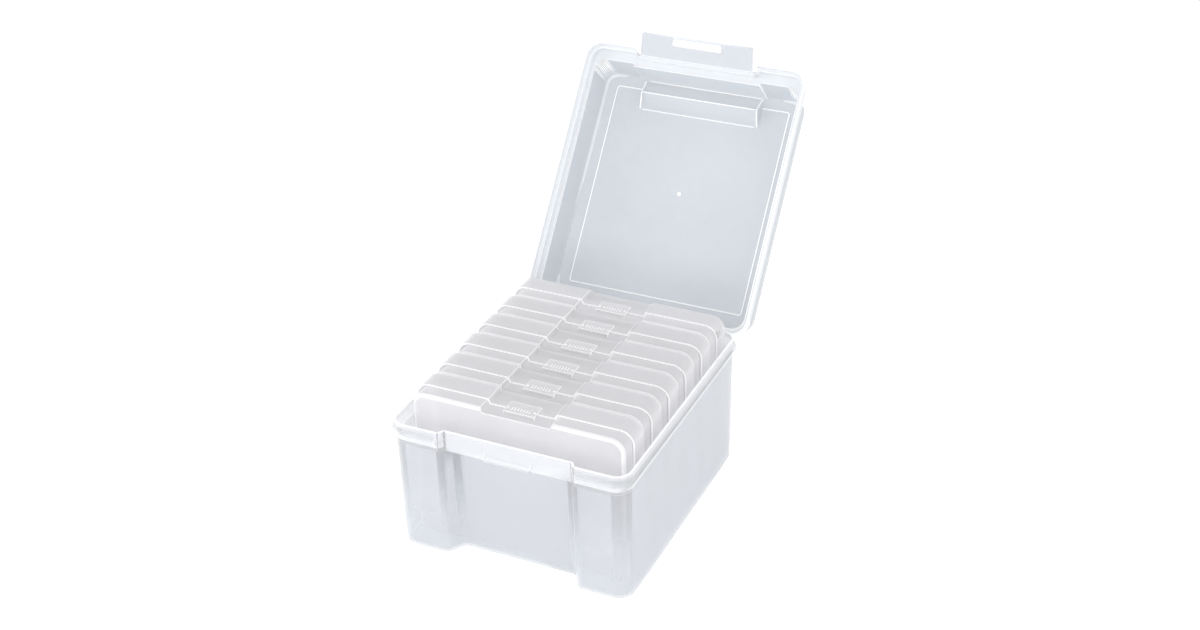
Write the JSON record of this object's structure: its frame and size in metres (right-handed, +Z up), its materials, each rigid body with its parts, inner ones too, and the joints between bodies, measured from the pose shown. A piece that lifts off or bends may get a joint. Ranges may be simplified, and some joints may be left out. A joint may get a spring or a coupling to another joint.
{
  "type": "photo keeper case",
  "caption": "Clear moulded storage tub with a terraced hinged lid, a latch flap, and upright snap-shut photo cases that lift out.",
  "frame": {"origin": "centre of the tub's flat base, on the surface it stands on", "axes": "+X right seen from the front, +Y to the back where the lid hinges, +Z up"},
  "size_m": [0.209, 0.4147, 0.3107],
  "materials": {
    "frosted_shell": "clear polypropylene with a light frost",
    "clear_case": "clear polypropylene, satin"
  },
  "bodies": {
    "tub": {"tub": "frosted_shell"},
    "lid": {"lid": "frosted_shell"},
    "latch_flap": {"latch_flap": "frosted_shell"},
    "photo_case_1": {"case_1_tray": "clear_case", "case_1_lid": "clear_case"},
    "photo_case_2": {"case_2_tray": "clear_case", "case_2_lid": "clear_case"},
    "photo_case_3": {"case_3_tray": "clear_case", "case_3_lid": "clear_case"},
    "photo_case_4": {"case_4_tray": "clear_case", "case_4_lid": "clear_case"},
    "photo_case_5": {"case_5_tray": "clear_case", "case_5_lid": "clear_case"},
    "photo_case_6": {"case_6_tray": "clear_case", "case_6_lid": "clear_case"}
  },
  "joints": [
    {"name": "lid_hinge", "type": "hinge", "parent": "tub", "child": "lid", "pos_m": [0, 0.121, 0.111], "axis": [-1, 0, 0], "range_deg": [-128, 0]},
    {"name": "flap_hinge", "type": "hinge", "parent": "lid", "child": "latch_flap", "pos_m": [0, 0.27244, 0.28925], "axis": [-1, 0, 0], "range_deg": [-58.5, 50], "stiffness_Nm_per_rad": 0.02},
    {"name": "case_1_lift", "type": "slide", "parent": "tub", "child": "photo_case_1", "axis": [0, 0, 1], "range_m": [0, 0.15]},
    {"name": "case_2_lift", "type": "slide", "parent": "tub", "child": "photo_case_2", "axis": [0, 0, 1], "range_m": [0, 0.15]},
    {"name": "case_3_lift", "type": "slide", "parent": "tub", "child": "photo_case_3", "axis": [0, 0, 1], "range_m": [0, 0.15]},
    {"name": "case_4_lift", "type": "slide", "parent": "tub", "child": "photo_case_4", "axis": [0, 0, 1], "range_m": [0, 0.15]},
    {"name": "case_5_lift", "type": "slide", "parent": "tub", "child": "photo_case_5", "axis": [0, 0, 1], "range_m": [0, 0.15]},
    {"name": "case_6_lift", "type": "slide", "parent": "tub", "child": "photo_case_6", "axis": [0, 0, 1], "range_m": [0, 0.15]}
  ]
}
